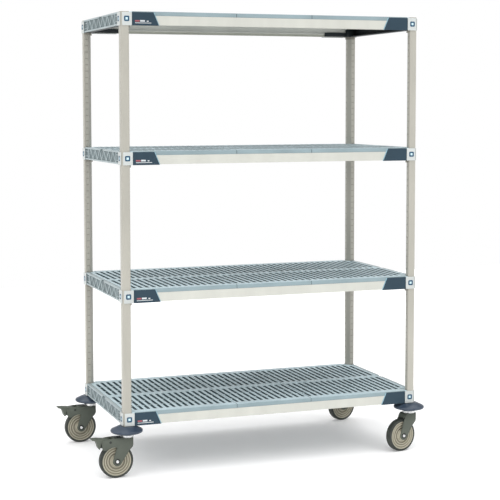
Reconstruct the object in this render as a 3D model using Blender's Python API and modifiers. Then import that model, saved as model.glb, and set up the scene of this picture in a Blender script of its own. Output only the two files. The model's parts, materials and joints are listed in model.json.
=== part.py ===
"""A four-shelf storage cart: corner posts, framed shelves with slotted mats, stem casters.

Metres, +Z up, +X along the cart's length, -Y its front. The origin is on the floor, below
the middle of the overall box, which reaches from the brake pedals to the far bumpers.
"""

import math

import bmesh
import bpy
from mathutils import Matrix

# ---------------------------------------------------------------- driving dimensions
INCH = 0.0254
CART_LENGTH = 1.204            # over the corner plates, along X
CART_DEPTH = 0.602             # over the corner plates, along Y
LOWEST_LOCK = 0.2175           # floor to the middle of the lowest shelf's frame
SHELF_STEPS = (0, 18, 38, 58)  # shelf positions in one-inch steps above the lowest
SHELF_HEIGHT = 0.049           # frame and mat together
GAP = 0.0003                   # between pieces that touch
FIT = 0.0005                   # between pieces that slide

POST_SIDE = 0.031
POST_WALL = 0.002
POST_OUTER_RADIUS = 0.010
POST_SIDE_RADIUS = 0.003
POST_INNER_CUT = 0.0125          # flat across the innermost corner
POST_CAP = 0.003
POST_REACH_BELOW = 0.0025        # post's foot below the lowest shelf

PLATE = 0.0030                 # corner plate thickness
PLATE_FROM_CORNER = 0.0075
PLATE_WIDTH = 0.037
SIDE_PLATE_WIDTH = 0.036
TIE_WIDTH = 0.0045               # block joining a side plate to its rail
BRACKET_TOP_LENGTH = 0.082
BRACKET_BOTTOM_LENGTH = 0.102
BRACKET_DROP = 0.0010            # bracket's top edge below the mats
BRACKET_FRONT = 0.0005           # bracket's faces, in from the plates
BRACKET_BACK = 0.0022
COLLAR = 0.0122                  # wall of the collar round the post's inner faces
COLLAR_FRONT = 0.0015            # collar's ends, in from the plates
SLEEVE = 0.0040                  # arm behind each beam
SLEEVE_BACK = 0.0310             # arm's near face, in from the plates

MAT_THICKNESS = 0.0150
MAT_PITCH = 0.0250             # slot to slot
SLOT_WIDTH = 0.0120
MIDDLE_BAR = 0.020             # half of the solid bar along the mats' middle
SLOT_REACH = 0.262
MIDDLE_MAT_HALF = 0.1523
CORNER_SLOT_REACH = 0.236
MAT_SIDE_GAP = 0.0027            # mats' long edges, in from the plates
MAT_END_GAP = 0.0158
MAT_PLATE_GAP = 0.0015           # mats' corner notches, in from the plates' inner edges

BEAM_WALL = 0.0025
BEAM_DEPTH = 0.028
BEAM_SET_BACK = 0.0025
BEAM_LIP_SET_BACK = 0.0030       # inner lip's lower part, in from its upper part
BEAM_LIP_STEPS = (0.0130, 0.0140, 0.0160, 0.0170)  # heights of the lip's bends above its foot
RAIL_WALL = 0.0040
RAIL_SET_BACK = 0.0035         # rail's face, in from the corner plates
RAIL_LIP = 0.0120
LEDGE_REACH = 0.0425
FLANGE_REACH = 0.0285
LEDGE = 0.0030

WHEEL_RADIUS = 0.0635
CASTER_TRAIL = 0.042
CROWN_TOP = 0.1500
CROWN_UNDERSIDE = 0.1325
FORK_HALF_WIDTH = 0.0225
FORK_HALF_SLOT = 0.0190
BUMPER_RADIUS = 0.0605
RACEWAY_RADIUS = 0.0260
AXLE_RADIUS = 0.0062
AXLE_HOLE = 0.0066
PIVOT_RADIUS = 0.0030
PIVOT_HOLE = 0.0034
KINGPIN_RADIUS = 0.0060
KINGPIN_HOLE = 0.0066
FORK_END = 0.0170                # round end of each leg, about the axle
PEDAL_REACH = 0.137            # stem axis to the pedal's tip
PEDAL_HALF_WIDTH = 0.0180
PEDAL_PIVOT = (-0.068, 0.138)

# ---------------------------------------------------------------- derived places
MIDDLE_X = (PEDAL_REACH - BUMPER_RADIUS) / 2
HALF_LENGTH = CART_LENGTH / 2
HALF_DEPTH = CART_DEPTH / 2
HALF_HEIGHT = SHELF_HEIGHT / 2
POST_FACE = PLATE + GAP                               # post's outer face, in from the plates
POST_X = HALF_LENGTH - POST_FACE - POST_SIDE / 2
POST_Y = HALF_DEPTH - POST_FACE - POST_SIDE / 2
POST_INSIDE_X = POST_X - POST_SIDE / 2
POST_INSIDE_Y = POST_Y - POST_SIDE / 2
RAIL_OUTSIDE = HALF_LENGTH - RAIL_SET_BACK
LOCK_HEIGHTS = [LOWEST_LOCK + step * INCH for step in SHELF_STEPS]
NOTCH_X = HALF_LENGTH - PLATE_FROM_CORNER - PLATE_WIDTH - MAT_PLATE_GAP
NOTCH_Y = HALF_DEPTH - PLATE_FROM_CORNER - SIDE_PLATE_WIDTH - MAT_PLATE_GAP
POST_BOTTOM = LOWEST_LOCK - HALF_HEIGHT - POST_REACH_BELOW
POST_TOP = LOCK_HEIGHTS[-1] + HALF_HEIGHT
MAT_UNDERSIDE = HALF_HEIGHT - MAT_THICKNESS           # above the lock's middle
SUPPORT_TOP = MAT_UNDERSIDE - GAP                     # beams, ledges and collars stop here

CORNERS = {
    "front_left": (-1, -1, 0.0, True),
    "front_right": (1, -1, 12.5, False),
    "rear_left": (-1, 1, 0.0, True),
    "rear_right": (1, 1, 13.0, False),
}                                                     # X side, Y side, caster's yaw, brake

PLANES = {
    "XY": Matrix(((1, 0, 0), (0, 1, 0), (0, 0, 1))),
    "XZ": Matrix(((1, 0, 0), (0, 0, -1), (0, 1, 0))),
    "YZ": Matrix(((0, 0, 1), (1, 0, 0), (0, 1, 0))),
}                                                     # outline's plane, then its thickness

FINISHES = {
    "post_enamel": ((0.50, 0.47, 0.40), 0.45, 0.0),
    "beam_enamel": ((0.72, 0.73, 0.66), 0.40, 0.0),
    "mat_polymer": ((0.52, 0.63, 0.66), 0.50, 0.0),
    "end_polymer": ((0.30, 0.37, 0.38), 0.50, 0.0),
    "bumper_rubber": ((0.06, 0.07, 0.13), 0.60, 0.0),
    "fork_nylon": ((0.10, 0.11, 0.09), 0.50, 0.0),
    "wheel_nylon": ((0.33, 0.28, 0.20), 0.50, 0.0),
    "tyre_rubber": ((0.05, 0.06, 0.05), 0.70, 0.0),
    "bright_steel": ((0.70, 0.70, 0.70), 0.25, 1.0),
}


# ---------------------------------------------------------------- tools
def clear_scene():
    for thing in list(bpy.data.objects):
        bpy.data.objects.remove(thing, do_unlink=True)


def new_collection(name):
    collection = bpy.data.collections.new(name)
    bpy.context.scene.collection.children.link(collection)
    return collection


def finish(name):
    """The named finish as a Principled material, made once."""
    if name in bpy.data.materials:
        return bpy.data.materials[name]
    colour, roughness, metallic = FINISHES[name]
    material = bpy.data.materials.new(name)
    material.use_nodes = True
    shader = material.node_tree.nodes["Principled BSDF"]
    shader.inputs["Base Color"].default_value = (*colour, 1.0)
    shader.inputs["Roughness"].default_value = roughness
    shader.inputs["Metallic"].default_value = metallic
    material.diffuse_color = (*colour, 1.0)
    return material


def linked(name, data):
    piece = bpy.data.objects.new(name, data)
    bpy.context.scene.collection.objects.link(piece)
    return piece


def baked_mesh(piece):
    """The piece as its modifiers leave it, as a welded mesh in world space; the piece goes."""
    bpy.context.view_layer.update()
    seen = piece.evaluated_get(bpy.context.evaluated_depsgraph_get())
    mesh = bpy.data.meshes.new_from_object(seen)
    mesh.transform(piece.matrix_world)
    work = bmesh.new()
    work.from_mesh(mesh)
    bmesh.ops.remove_doubles(work, verts=work.verts, dist=0.00001)
    work.to_mesh(mesh)
    work.free()
    name = piece.name
    bpy.data.objects.remove(piece, do_unlink=True)
    mesh.name = name
    return mesh


def block(low, high):
    """A box between two corners, given in any order."""
    work = bmesh.new()
    bmesh.ops.create_cube(work, size=1.0)
    sizes = [abs(b - a) for a, b in zip(low, high)]
    middle = [(a + b) / 2 for a, b in zip(low, high)]
    bmesh.ops.scale(work, vec=sizes, verts=work.verts)
    bmesh.ops.translate(work, vec=middle, verts=work.verts)
    mesh = bpy.data.meshes.new("block")
    work.to_mesh(mesh)
    work.free()
    return mesh


def slab(loops, low, high, plane="XY"):
    """Closed outlines filled in one plane, thick from low to high across it."""
    curve = bpy.data.curves.new("slab", "CURVE")
    curve.dimensions = "2D"
    curve.fill_mode = "BOTH"
    curve.extrude = abs(high - low) / 2
    for loop in loops:
        spline = curve.splines.new("POLY")
        spline.points.add(len(loop) - 1)
        for point, (u, v) in zip(spline.points, loop):
            point.co = (u, v, 0.0, 1.0)
        spline.use_cyclic_u = True
    outline = linked("slab", curve)
    turn = PLANES[plane].to_4x4()
    across = (low + high) / 2
    if plane == "XZ":
        across = -across
    outline.matrix_world = turn @ Matrix.Translation((0, 0, across))
    return baked_mesh(outline)


def turned(profile, segments, closed=True, turn=None):
    """A (radius, height) profile turned round Z, then turned into place."""
    mesh = bpy.data.meshes.new("turned")
    edges = [(i, i + 1) for i in range(len(profile) - 1)]
    if closed:
        edges.append((len(profile) - 1, 0))
    mesh.from_pydata([(radius, 0.0, height) for radius, height in profile], edges, [])
    piece = linked("turned", mesh)
    screw = piece.modifiers.new("turn", "SCREW")
    screw.steps = screw.render_steps = segments
    screw.use_merge_vertices = True
    screw.merge_threshold = 0.00001
    solid = baked_mesh(piece)
    if turn:
        solid.transform(turn)
    solid.shade_smooth()
    solid.set_sharp_from_angle(angle=math.radians(35))
    return solid


def combined(base, others, operation):
    """One mesh from a base mesh and others, joined to it or cut from it."""
    piece = linked("base", base)
    helpers = []
    for other in others:
        helper = linked("helper", other)
        helper.display_type = "WIRE"
        helper.hide_render = True
        helpers.append(helper)
        step = piece.modifiers.new(operation.lower(), "BOOLEAN")
        step.operation = operation
        step.solver = "EXACT"
        step.object = helper
    result = baked_mesh(piece)
    for helper in helpers:
        bpy.data.objects.remove(helper, do_unlink=True)
    return result


def placed(name, mesh, collection, finish_name, parent=None, location=(0, 0, 0)):
    """One named sub-part, made from a finished mesh."""
    piece = bpy.data.objects.new(name, mesh)
    collection.objects.link(piece)
    if not mesh.materials:
        mesh.materials.append(finish(finish_name))
    piece.location = location
    piece.parent = parent
    return piece


def anchor(name, collection, location, yaw=0.0):
    """An empty on a joint's axis."""
    empty = bpy.data.objects.new(name, None)
    empty.empty_display_size = 0.03
    empty.location = location
    empty.rotation_euler = (0.0, 0.0, math.radians(yaw))
    collection.objects.link(empty)
    return empty


def arc(middle, radius, start, stop, steps):
    """Points along an arc, both ends included; angles in degrees."""
    points = []
    for i in range(steps + 1):
        angle = math.radians(start + (stop - start) * i / steps)
        points.append((middle[0] + radius * math.cos(angle), middle[1] + radius * math.sin(angle)))
    return points


def rectangle(x0, x1, y0, y1):
    return [(x0, y0), (x1, y0), (x1, y1), (x0, y1)]


# ---------------------------------------------------------------- posts
def post_loop(inset):
    """The post's section: large rounded corner towards -X, -Y, flat cut towards +X, +Y."""
    half = POST_SIDE / 2 - inset
    large = POST_OUTER_RADIUS - inset
    small = POST_SIDE_RADIUS - inset
    cut = POST_INNER_CUT - inset * (2 - math.sqrt(2))
    loop = arc((-half + large, -half + large), large, 180, 270, 4)
    loop += arc((half - small, -half + small), small, 270, 360, 1)
    loop += [(half, half - cut), (half - cut, half)]
    loop += arc((-half + small, half - small), small, 90, 180, 1)
    return loop


def post_mesh(side_x, side_y):
    """A tube, open below for the caster's stem and capped above."""
    def mirrored(loop):
        return [(-side_x * u, -side_y * v) for u, v in loop]

    body = slab([mirrored(post_loop(0.0))], POST_BOTTOM, POST_TOP)
    bore = slab([mirrored(post_loop(POST_WALL))], POST_BOTTOM - 0.01, POST_TOP - POST_CAP)
    return combined(body, [bore], "DIFFERENCE")


# ---------------------------------------------------------------- shelves
def rail_mesh(side):
    """The end frame's rail: web, top lip beside the mats, ledge under them, bottom flange."""
    outside = RAIL_OUTSIDE
    lip = outside - RAIL_LIP
    web = outside - RAIL_WALL
    ledge_end = outside - LEDGE_REACH
    flange_end = outside - FLANGE_REACH
    loop = [
        (outside, -HALF_HEIGHT), (outside, HALF_HEIGHT), (lip, HALF_HEIGHT),
        (lip, SUPPORT_TOP), (ledge_end, SUPPORT_TOP), (ledge_end, SUPPORT_TOP - LEDGE),
        (web, SUPPORT_TOP - LEDGE), (web, RAIL_WALL - HALF_HEIGHT),
        (flange_end, RAIL_WALL - HALF_HEIGHT), (flange_end, -HALF_HEIGHT),
    ]
    half = POST_INSIDE_Y - FIT - RAIL_WALL / 2
    return slab([[(side * u, v) for u, v in loop]], -half, half, "XZ")


def corner_meshes(side, end):
    """One corner of an end frame: face bracket, two plates, and the collar by the post."""
    plate_outer = HALF_LENGTH - PLATE_FROM_CORNER
    plate_inner = plate_outer - PLATE_WIDTH
    collar_x = POST_INSIDE_X - FIT
    collar_y = POST_INSIDE_Y - FIT
    bracket_top = HALF_HEIGHT - BRACKET_DROP
    bracket = [
        (plate_inner - BRACKET_BOTTOM_LENGTH, -HALF_HEIGHT), (collar_x, -HALF_HEIGHT),
        (collar_x, bracket_top), (plate_inner - BRACKET_TOP_LENGTH, bracket_top),
    ]
    face = slab([[(side * u, v) for u, v in bracket]],
                end * (HALF_DEPTH - BRACKET_BACK), end * (HALF_DEPTH - BRACKET_FRONT), "XZ")
    front_plate = block(
        (side * plate_inner, end * (HALF_DEPTH - PLATE), -HALF_HEIGHT),
        (side * plate_outer, end * HALF_DEPTH, HALF_HEIGHT))
    side_plate_outer = HALF_DEPTH - PLATE_FROM_CORNER
    side_plate = block(
        (side * (HALF_LENGTH - PLATE), end * side_plate_outer, -HALF_HEIGHT),
        (side * HALF_LENGTH, end * (side_plate_outer - SIDE_PLATE_WIDTH), HALF_HEIGHT))
    tie = block(
        (side * (RAIL_OUTSIDE - RAIL_LIP / 2), end * collar_y, -HALF_HEIGHT),
        (side * HALF_LENGTH, end * (collar_y - TIE_WIDTH), HALF_HEIGHT))
    cut = POST_INNER_CUT - FIT * (math.sqrt(2) - 1)
    front = HALF_DEPTH - COLLAR_FRONT
    sleeve_back = HALF_DEPTH - SLEEVE_BACK
    sleeve_end = plate_inner - BRACKET_BOTTOM_LENGTH
    collar_end = RAIL_OUTSIDE - RAIL_WALL / 2
    collar = [
        (collar_x, front), (collar_x, POST_INSIDE_Y + cut), (POST_INSIDE_X + cut, collar_y),
        (collar_end, collar_y), (collar_end, collar_y - COLLAR), (collar_x - COLLAR, collar_y - COLLAR),
        (collar_x - COLLAR, sleeve_back - SLEEVE), (sleeve_end, sleeve_back - SLEEVE),
        (sleeve_end, sleeve_back), (collar_x - COLLAR, sleeve_back), (collar_x - COLLAR, front),
    ]
    collar_mesh = slab([[(side * u, end * v) for u, v in collar]], -HALF_HEIGHT, SUPPORT_TOP)
    cap_end = RAIL_OUTSIDE - RAIL_LIP / 2
    cap = [
        (NOTCH_X + GAP, front), (collar_x, front), (collar_x, POST_INSIDE_Y + cut),
        (POST_INSIDE_X + cut, collar_y), (cap_end, collar_y), (cap_end, NOTCH_Y + GAP),
        (NOTCH_X + GAP, NOTCH_Y + GAP),
    ]
    cap_mesh = slab([[(side * u, end * v) for u, v in cap]], SUPPORT_TOP - LEDGE, bracket_top)
    return [face, front_plate, side_plate, tie, collar_mesh, cap_mesh]


def end_frame_mesh(side):
    corners = corner_meshes(side, -1) + corner_meshes(side, 1)
    return combined(rail_mesh(side), corners, "UNION")


def beam_mesh(end):
    """A long channel with a stepped inner lip; its ends sit inside the corner brackets."""
    outside = HALF_DEPTH - BEAM_SET_BACK
    inside = outside - BEAM_DEPTH
    web = outside - BEAM_WALL
    lip = inside + BEAM_LIP_SET_BACK
    low = -HALF_HEIGHT
    outer_low, inner_low, outer_high, inner_high = (low + step for step in BEAM_LIP_STEPS)
    loop = [
        (outside, low), (outside, SUPPORT_TOP), (inside, SUPPORT_TOP), (inside, outer_high),
        (lip, outer_low), (lip, low), (lip + BEAM_WALL, low), (lip + BEAM_WALL, inner_low),
        (inside + BEAM_WALL, inner_high), (inside + BEAM_WALL, SUPPORT_TOP - BEAM_WALL),
        (web, SUPPORT_TOP - BEAM_WALL), (web, low),
    ]
    half = POST_INSIDE_X - FIT - COLLAR - FIT
    return slab([[(end * u, v) for u, v in loop]], -half, half, "YZ")


def mat_slots(columns):
    """Two slots a column, front and rear of the middle bar; the corner ones are shorter."""
    slots = []
    for x in columns:
        reach = SLOT_REACH
        if abs(x) > POST_INSIDE_X - SLOT_WIDTH:
            reach = CORNER_SLOT_REACH
        for end in (-1, 1):
            ends = sorted((end * MIDDLE_BAR, end * reach))
            slots.append(rectangle(x - SLOT_WIDTH / 2, x + SLOT_WIDTH / 2, *ends))
    return slots


def middle_mat_mesh():
    half_y = HALF_DEPTH - MAT_SIDE_GAP
    columns = [(i - 5.5) * MAT_PITCH for i in range(12)]
    edge = rectangle(-MIDDLE_MAT_HALF, MIDDLE_MAT_HALF, -half_y, half_y)
    return slab([edge] + mat_slots(columns), MAT_UNDERSIDE, HALF_HEIGHT)


def outer_mat_mesh(side):
    """An outer mat, notched at its two corners to clear the posts."""
    half_y = HALF_DEPTH - MAT_SIDE_GAP
    near = MIDDLE_MAT_HALF + 2 * GAP
    far = HALF_LENGTH - MAT_END_GAP
    edge = [
        (near, -half_y), (NOTCH_X, -half_y), (NOTCH_X, -NOTCH_Y), (far, -NOTCH_Y),
        (far, NOTCH_Y), (NOTCH_X, NOTCH_Y), (NOTCH_X, half_y), (near, half_y),
    ]
    first = near + MAT_PITCH / 2
    columns = [side * (first + i * MAT_PITCH) for i in range(17)]
    loops = [[(side * u, v) for u, v in edge]] + mat_slots(columns)
    return slab(loops, MAT_UNDERSIDE, HALF_HEIGHT)


def build_shelves(collection):
    """Four equal shelves; each hangs on an empty at its own height."""
    ends = {"left": end_frame_mesh(-1), "right": end_frame_mesh(1)}
    beams = {"front": beam_mesh(-1), "rear": beam_mesh(1)}
    mats = {"left": outer_mat_mesh(-1), "centre": middle_mat_mesh(), "right": outer_mat_mesh(1)}
    for number, height in enumerate(LOCK_HEIGHTS, start=1):
        shelf = anchor(f"shelf_{number}", collection, (MIDDLE_X, 0.0, height))
        for place, mesh in ends.items():
            placed(f"shelf_{number}_end_frame_{place}", mesh, collection, "end_polymer", shelf)
        for place, mesh in beams.items():
            placed(f"shelf_{number}_beam_{place}", mesh, collection, "beam_enamel", shelf)
        for place, mesh in mats.items():
            placed(f"shelf_{number}_mat_{place}", mesh, collection, "mat_polymer", shelf)


# ---------------------------------------------------------------- casters
AXLE = (-CASTER_TRAIL, WHEEL_RADIUS)
ACROSS = Matrix.Rotation(math.radians(90), 4, "X")    # turns a Z axis to lie along Y


def stem_mesh():
    """Kingpin head, pin, raceway, stem and the bush that fills the post's foot."""
    profile = [
        (0.0, 0.2460), (0.0085, 0.2460), (0.0105, 0.2435), (0.0105, 0.1902), (0.0125, 0.1885),
        (0.0125, 0.1578), (RACEWAY_RADIUS, 0.1578), (RACEWAY_RADIUS, CROWN_TOP + GAP),
        (KINGPIN_RADIUS, CROWN_TOP + GAP), (KINGPIN_RADIUS, CROWN_UNDERSIDE - GAP),
        (0.0110, CROWN_UNDERSIDE - GAP), (0.0110, 0.1290), (0.0, 0.1290),
    ]
    return turned(profile, 12, closed=False)


def bumper_mesh():
    """A soft donut: a shallow cone above its widest line, rounded in below."""
    profile = [
        (0.0128, 0.1897), (0.0340, 0.1897), (0.0570, 0.1775), (BUMPER_RADIUS, 0.1715),
        (0.0585, 0.1660), (0.0440, 0.1590), (0.0128, 0.1581),
    ]
    return turned(profile, 24)


def plain_fork_loop():
    """Side outline of a fork: crown, raked legs, round ends about the axle."""
    loop = [(0.0190, CROWN_TOP), (-0.0260, CROWN_TOP), (-0.0330, 0.1400), (-0.0420, 0.1200)]
    loop += arc(AXLE, FORK_END, 165, 335, 6)
    loop += [(0.0030, 0.1020), (0.0190, 0.1180)]
    return loop


def brake_fork_loop():
    """The same fork with its cheeks carried back over the wheel, as the pedal's housing."""
    loop = [(0.0190, CROWN_TOP), (-0.0620, CROWN_TOP), (-0.0980, 0.1450), (-0.1000, 0.1300)]
    loop += [(-0.0960, 0.1090), (-0.0800, 0.1160), (-0.0620, 0.1190), (-0.0430, 0.1180)]
    loop += arc(AXLE, FORK_END, 165, 335, 6)
    loop += [(0.0030, 0.1020), (0.0190, 0.1180)]
    return loop


def circle(middle, radius, steps):
    return arc(middle, radius, 0, 360 - 360 / steps, steps - 1)


def fork_mesh(brake):
    """Two legs below a crown, bored for the axle and the kingpin."""
    loops = [brake_fork_loop() if brake else plain_fork_loop(), circle(AXLE, AXLE_HOLE, 12)]
    if brake:
        loops.append(circle(PEDAL_PIVOT, PIVOT_HOLE, 8))
    body = slab(loops, -FORK_HALF_WIDTH, FORK_HALF_WIDTH, "XZ")
    wheel_room = block((-0.2, -FORK_HALF_SLOT, 0.0), (0.1, FORK_HALF_SLOT, CROWN_UNDERSIDE))
    kingpin = turned(
        [(KINGPIN_HOLE, 0.160), (KINGPIN_HOLE, 0.120), (0.0, 0.120), (0.0, 0.160)], 12)
    cutters = [wheel_room, kingpin]
    if brake:
        cutters.append(block((-0.2, -FORK_HALF_SLOT, 0.12), (-0.0560, FORK_HALF_SLOT, 0.2)))
    return combined(body, cutters, "DIFFERENCE")


def wheel_mesh():
    """Wheel centre: rim, nearly flat disc and hub, bored for the axle."""
    profile = [
        (0.0545, 0.0130), (0.0545, -0.0130), (0.0170, -0.0100), (0.0150, -0.0185),
        (AXLE_HOLE, -0.0185), (AXLE_HOLE, 0.0185), (0.0150, 0.0185), (0.0170, 0.0100),
    ]
    return turned(profile, 24, turn=ACROSS)


def tyre_mesh():
    profile = [
        (0.0548, 0.0135), (0.0600, 0.0155), (WHEEL_RADIUS, 0.0105), (WHEEL_RADIUS, -0.0105),
        (0.0600, -0.0155), (0.0548, -0.0135),
    ]
    return turned(profile, 32, turn=ACROSS)


def pin_mesh(radius, head_radius, head, segments):
    """A cross pin with a low domed head outside each leg."""
    reach = FORK_HALF_WIDTH + GAP
    profile = [
        (0.0, reach + head), (head_radius * 0.7, reach + head), (head_radius, reach + head * 0.4),
        (head_radius, reach), (radius, reach), (radius, -reach), (head_radius, -reach),
        (head_radius, -reach - head * 0.4), (head_radius * 0.7, -reach - head),
        (0.0, -reach - head),
    ]
    return turned(profile, segments, closed=False, turn=ACROSS)


def pedal_mesh():
    """Pedal: foot tip, cover between the cheeks, lip behind the wheel and brake shoe."""
    outline = [
        (-PEDAL_REACH, 0.1480), (-PEDAL_REACH, 0.1515), (-0.1040, 0.1500), (-0.0700, 0.1450),
        (-0.0630, 0.1410), (-0.0620, 0.1360), (-0.0660, 0.1330), (-0.0760, 0.1300),
        (-0.0820, 0.1210), (-0.0880, 0.1180), (-0.0920, 0.1300), (-0.1040, 0.1330),
        (-0.1060, 0.1130), (-0.1110, 0.1130), (-0.1170, 0.1330), (-0.1230, 0.1450),
    ]
    hole = circle((0.0, 0.0), PIVOT_HOLE, 8)
    shifted = [(u - PEDAL_PIVOT[0], v - PEDAL_PIVOT[1]) for u, v in outline]
    return slab([shifted, hole], -PEDAL_HALF_WIDTH, PEDAL_HALF_WIDTH, "XZ")


def build_casters(collection):
    """Stem and bumper stay with the post; fork, wheel and pedal hang on their own axes."""
    stem, bumper, wheel, tyre = stem_mesh(), bumper_mesh(), wheel_mesh(), tyre_mesh()
    forks = {True: fork_mesh(True), False: fork_mesh(False)}
    pedal = pedal_mesh()
    axle_pin = pin_mesh(AXLE_RADIUS, 0.0080, 0.0040, 12)
    brake_pin = pin_mesh(PIVOT_RADIUS, 0.0048, 0.0020, 8)
    axle_place = (AXLE[0], 0.0, AXLE[1])
    pivot_place = (PEDAL_PIVOT[0], 0.0, PEDAL_PIVOT[1])
    for corner, (side_x, side_y, yaw, brake) in CORNERS.items():
        foot = (MIDDLE_X + side_x * POST_X, side_y * POST_Y, 0.0)
        placed(f"caster_stem_{corner}", stem, collection, "bright_steel", location=foot)
        placed(f"bumper_{corner}", bumper, collection, "bumper_rubber", location=foot)
        swivel = anchor(f"swivel_{corner}", collection, foot, yaw)
        placed(f"fork_{corner}", forks[brake], collection, "fork_nylon", swivel)
        placed(f"axle_{corner}", axle_pin, collection, "bright_steel", swivel, axle_place)
        placed(f"wheel_{corner}", wheel, collection, "wheel_nylon", swivel, axle_place)
        placed(f"tyre_{corner}", tyre, collection, "tyre_rubber", swivel, axle_place)
        if brake:
            placed(f"brake_pedal_{corner}", pedal, collection, "fork_nylon", swivel, pivot_place)
            placed(f"brake_pin_{corner}", brake_pin, collection, "bright_steel", swivel, pivot_place)


# ---------------------------------------------------------------- the cart
def build_posts(collection):
    for corner, (side_x, side_y, _, _) in CORNERS.items():
        place = (MIDDLE_X + side_x * POST_X, side_y * POST_Y, 0.0)
        mesh = post_mesh(side_x, side_y)
        placed(f"post_{corner}", mesh, collection, "post_enamel", location=place)


clear_scene()
cart = new_collection("shelf_cart")
build_posts(cart)
build_shelves(cart)
build_casters(cart)
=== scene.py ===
"""Looks of the four-shelf storage cart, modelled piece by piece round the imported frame."""

import json
from math import atan2, cos, hypot, radians, sin, sqrt, tau

import bmesh
import bpy
from mathutils import Matrix, Vector


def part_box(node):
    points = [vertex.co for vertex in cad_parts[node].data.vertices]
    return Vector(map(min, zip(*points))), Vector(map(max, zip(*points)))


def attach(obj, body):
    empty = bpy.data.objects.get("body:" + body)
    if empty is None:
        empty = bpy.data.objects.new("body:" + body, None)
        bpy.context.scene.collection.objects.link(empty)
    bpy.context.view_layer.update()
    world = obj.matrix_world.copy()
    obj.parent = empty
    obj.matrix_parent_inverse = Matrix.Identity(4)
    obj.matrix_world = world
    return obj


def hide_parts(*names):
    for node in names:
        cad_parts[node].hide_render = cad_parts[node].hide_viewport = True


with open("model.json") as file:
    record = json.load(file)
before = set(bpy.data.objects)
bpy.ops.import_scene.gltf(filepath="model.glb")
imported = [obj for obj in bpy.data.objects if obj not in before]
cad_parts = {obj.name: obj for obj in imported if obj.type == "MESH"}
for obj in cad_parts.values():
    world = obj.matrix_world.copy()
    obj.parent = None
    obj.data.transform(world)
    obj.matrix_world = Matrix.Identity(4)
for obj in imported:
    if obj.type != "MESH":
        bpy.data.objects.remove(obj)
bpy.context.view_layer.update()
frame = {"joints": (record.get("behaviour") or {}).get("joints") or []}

# ---- sizes, from the frame
GAP = 0.0003
SHELVES = (1, 2, 3, 4)
CORNERS = ("front_left", "front_right", "rear_left", "rear_right")
BRAKED = ("front_left", "rear_left")

mat_low, mat_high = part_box("shelf_1_mat_centre")
left_low, left_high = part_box("shelf_1_end_frame_left")
right_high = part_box("shelf_1_end_frame_right")[1]
MIDDLE_X = (left_low.x + right_high.x) / 2
HALF_LENGTH = (right_high.x - left_low.x) / 2
HALF_DEPTH = (left_high.y - left_low.y) / 2
SHELF_LOW = left_low.z
SHELF_TOP = left_high.z
HALF_HEIGHT = (SHELF_TOP - SHELF_LOW) / 2
LOCK = (SHELF_TOP + SHELF_LOW) / 2
MAT_LOW = mat_low.z
SUPPORT_TOP = MAT_LOW - GAP
MAT_HALF_Y = mat_high.y
LIFTS = [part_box(f"shelf_{n}_end_frame_left")[0].z - SHELF_LOW for n in SHELVES]

post_low, post_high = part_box("post_front_right")
POST_HALF = (post_high.x - post_low.x) / 2
POST_X = (post_high.x + post_low.x) / 2 - MIDDLE_X
POST_Y = -(post_high.y + post_low.y) / 2
POST_INSIDE_X = POST_X - POST_HALF
POST_INSIDE_Y = POST_Y - POST_HALF
POST_ROUND = 0.0065                # outermost corner
POST_SIDE_ROUND = 0.003
POST_CUT = 0.0125                  # flat across the innermost corner

COLLAR_GAP = 0.0005                # all round the post, inside its collar
COLLAR_X = POST_INSIDE_X - COLLAR_GAP
COLLAR_Y = POST_INSIDE_Y - COLLAR_GAP
COLLAR_CUT = POST_CUT - COLLAR_GAP * (sqrt(2) - 1)

RAIL_OUTSIDE = HALF_LENGTH - 0.0035
RAIL_WALL = 0.004
RAIL_HALF = COLLAR_Y
RAIL_LIP = 0.012
INCH = 0.0254

MERGE = 0.00001                    # points nearer than this are one point
SMOOTH = 35.0                      # edges flatter than this are shaded smooth


# ---- modelling tools
def activate(piece):
    bpy.ops.object.select_all(action="DESELECT")
    piece.select_set(True)
    bpy.context.view_layer.objects.active = piece


def edit(piece):
    """Edit mode on one piece, nothing selected."""
    activate(piece)
    bpy.ops.object.mode_set(mode="EDIT")
    bpy.ops.mesh.select_mode(type="FACE")
    bpy.ops.mesh.select_all(action="DESELECT")


def done():
    bpy.ops.object.mode_set(mode="OBJECT")


def pick(piece, test, kind="faces"):
    """Selects only the faces, edges or vertices that pass the test."""
    modes = {"faces": "FACE", "edges": "EDGE", "verts": "VERT"}
    bpy.ops.mesh.select_mode(type=modes[kind])
    bpy.ops.mesh.select_all(action="DESELECT")
    work = bmesh.from_edit_mesh(piece.data)
    for element in getattr(work, kind):
        if test(element):
            element.select_set(True)
    work.select_flush_mode()
    bmesh.update_edit_mesh(piece.data)


def take_all():
    bpy.ops.mesh.select_all(action="SELECT")


def merge_all():
    take_all()
    bpy.ops.mesh.remove_doubles(threshold=MERGE)


def push(x=0.0, y=0.0, z=0.0):
    """Extrudes what is selected."""
    bpy.ops.mesh.extrude_region_move(TRANSFORM_OT_translate={"value": (x, y, z)})


def shift(x=0.0, y=0.0, z=0.0):
    """Moves what is selected."""
    bpy.ops.transform.translate(value=(x, y, z))


def inset(thickness):
    bpy.ops.mesh.inset(thickness=thickness, use_boundary=True)


def bevel(offset, segments):
    bpy.ops.mesh.bevel(offset=offset, segments=segments, affect="EDGES")


def runs_along(edge, axis):
    a, b = edge.verts[0].co, edge.verts[1].co
    return (a - b).normalized().dot(axis) ** 2 > 0.9


def slice_at(axis, *places):
    """Cuts everything across an axis at each place along it."""
    normal = Vector([float(name == axis) for name in "xyz"])
    for place in places:
        take_all()
        bpy.ops.mesh.bisect(plane_co=normal * place, plane_no=normal)


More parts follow.
